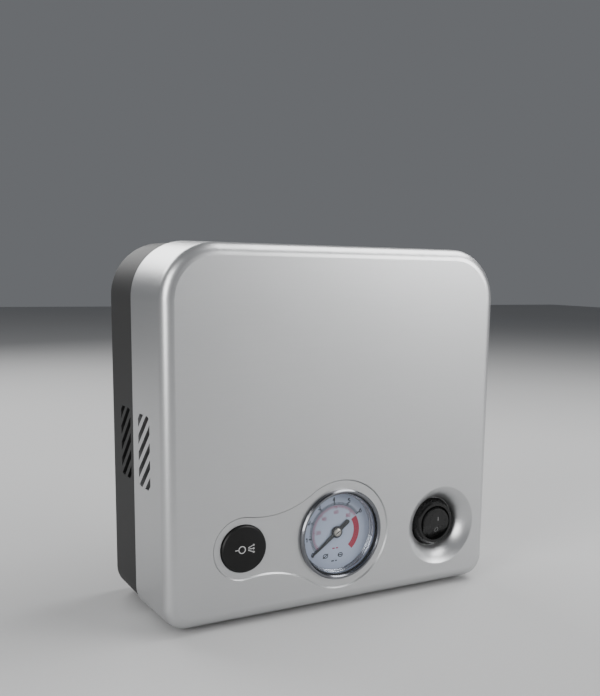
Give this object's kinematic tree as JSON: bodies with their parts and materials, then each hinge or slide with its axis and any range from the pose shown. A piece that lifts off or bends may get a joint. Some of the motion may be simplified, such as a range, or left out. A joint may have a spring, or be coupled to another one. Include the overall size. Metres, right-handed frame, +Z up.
{
  "type": "portable tyre inflator",
  "caption": "Upright 12 V piston tyre inflator with a dial gauge, a deflate button, a rocker switch, vents and a rear storage bay.",
  "frame": {"origin": "on the ground under the middle of the object's box", "axes": "+Z up, the gauge side faces -Y, +X to the right seen from the front"},
  "size_m": [0.168, 0.0716, 0.1635],
  "materials": {
    "silver_shell": "satin silver paint",
    "black_shell": "fine texture",
    "black_gloss": "semi-gloss",
    "black_plastic": "moulded",
    "grey_plastic": "moulded",
    "foot_rubber": "matt",
    "seal_rubber": "smooth",
    "screw_steel": "zinc plated",
    "chrome_trim": "dark chrome",
    "clear_lens": "clear",
    "dial_white": "printed",
    "pointer_black": "satin",
    "brass": "turned",
    "steel": "ground",
    "zinc_plate": "zinc plated",
    "cast_alloy": "die-cast",
    "machined_alloy": "machined",
    "lamination": "laminated",
    "magnet": "ferrite",
    "copper": "enamelled copper",
    "carbon": "carbon",
    "nylon": "natural nylon",
    "ptfe": "filled ptfe",
    "wire_sheath": "smooth"
  },
  "bodies": {
    "case": {"front_shell": "silver_shell", "rear_shell": "black_shell", "feet": "foot_rubber", "case_screws": "screw_steel", "storage_tray": "black_plastic", "gauge_case": "black_plastic", "gauge_bezel": "chrome_trim", "gauge_lens": "clear_lens", "gauge_dial": "dial_white", "movement_frame": "brass", "bourdon_tube": "brass", "gauge_stem": "brass", "manifold": "cast_alloy", "manifold_plug": "brass", "outlet_nipple": "brass", "cable_grommet": "seal_rubber", "switch_body": "black_gloss", "switch_terminals": "brass", "motor_can": "zinc_plate", "motor_end_cap": "black_plastic", "motor_bushings": "brass", "motor_magnets": "magnet", "motor_brushes": "carbon", "gear_frame": "cast_alloy", "motor_screws": "screw_steel", "mount_bushings": "seal_rubber", "crank_bearing": "steel", "cylinder": "machined_alloy", "valve_plate": "steel", "cylinder_head": "cast_alloy", "head_screws": "screw_steel", "air_pipe": "copper", "pipe_nuts": "brass", "wires": "wire_sheath", "valve_spring": "steel", "outlet_spring": "steel"},
    "door": {"storage_door": "black_shell"},
    "pointer": {"gauge_pointer": "pointer_black", "gauge_arbor": "brass"},
    "sector": {"sector_gear": "brass", "gauge_link": "steel"},
    "button": {"deflate_button": "black_gloss", "valve_stem": "brass", "valve_seal": "seal_rubber"},
    "rocker": {"switch_rocker": "black_gloss"},
    "armature": {"motor_shaft": "steel", "armature_core": "lamination", "armature_windings": "copper", "commutator": "copper", "motor_pinion": "steel", "cooling_fan": "grey_plastic"},
    "crank": {"crank_shaft": "steel", "crank_gear": "nylon", "crank_web": "steel"},
    "piston": {"piston": "machined_alloy", "piston_ring": "ptfe", "wrist_pin": "steel"},
    "rod": {"connecting_rod": "grey_plastic", "crank_pin": "steel"},
    "outlet_valve": {"outlet_disc": "seal_rubber"}
  },
  "joints": [
    {"name": "door_hinge", "type": "hinge", "parent": "case", "child": "door", "pos_m": [0, 0.033, 0.01055], "axis": [-1, 0, 0], "range_deg": [0, 90]},
    {"name": "gauge_sector", "type": "hinge", "parent": "case", "child": "sector", "pos_m": [-0.0006, -0.022, 0.0259], "axis": [0, 1, 0], "range_deg": [-54.17, 0], "stiffness_Nm_per_rad": 0.001},
    {"name": "gauge_needle", "type": "hinge", "parent": "case", "child": "pointer", "pos_m": [-0.0006, -0.0287, 0.0346], "axis": [0, 1, 0], "range_deg": [0, 260.01]},
    {"name": "deflate_press", "type": "slide", "parent": "case", "child": "button", "axis": [0, 1, 0], "range_m": [0, 0.0025], "stiffness_N_per_m": 900, "springref_m": -0.002, "deforming": ["valve_spring"]},
    {"name": "switch_rock", "type": "hinge", "parent": "case", "child": "rocker", "pos_m": [0.0555, -0.02675, 0.0314], "axis": [-1, 0, 0], "range_deg": [0, 24]},
    {"name": "motor_spin", "type": "hinge", "parent": "case", "child": "armature", "pos_m": [-0.03, -0.001, 0.083], "axis": [1, 0, 0], "continuous": true},
    {"name": "crank_spin", "type": "hinge", "parent": "case", "child": "crank", "pos_m": [0, -0.001, 0.1094], "axis": [1, 0, 0], "continuous": true},
    {"name": "piston_stroke", "type": "slide", "parent": "case", "child": "piston", "axis": [0, 0, 1], "range_m": [-0.012, 0]},
    {"name": "rod_swing", "type": "hinge", "parent": "piston", "child": "rod", "pos_m": [0.018, -0.001, 0.1414], "axis": [1, 0, 0], "range_deg": [-13.3, 13.3]},
    {"name": "outlet_lift", "type": "slide", "parent": "case", "child": "outlet_valve", "axis": [0, 0, 1], "range_m": [0, 0.001], "stiffness_N_per_m": 150, "springref_m": -0.001, "deforming": ["outlet_spring"]}
  ],
  "couplings": [
    {"joint": "gauge_needle", "follows": "gauge_sector", "ratio": -4.8},
    {"joint": "crank_spin", "follows": "motor_spin", "ratio": -0.22222}
  ]
}
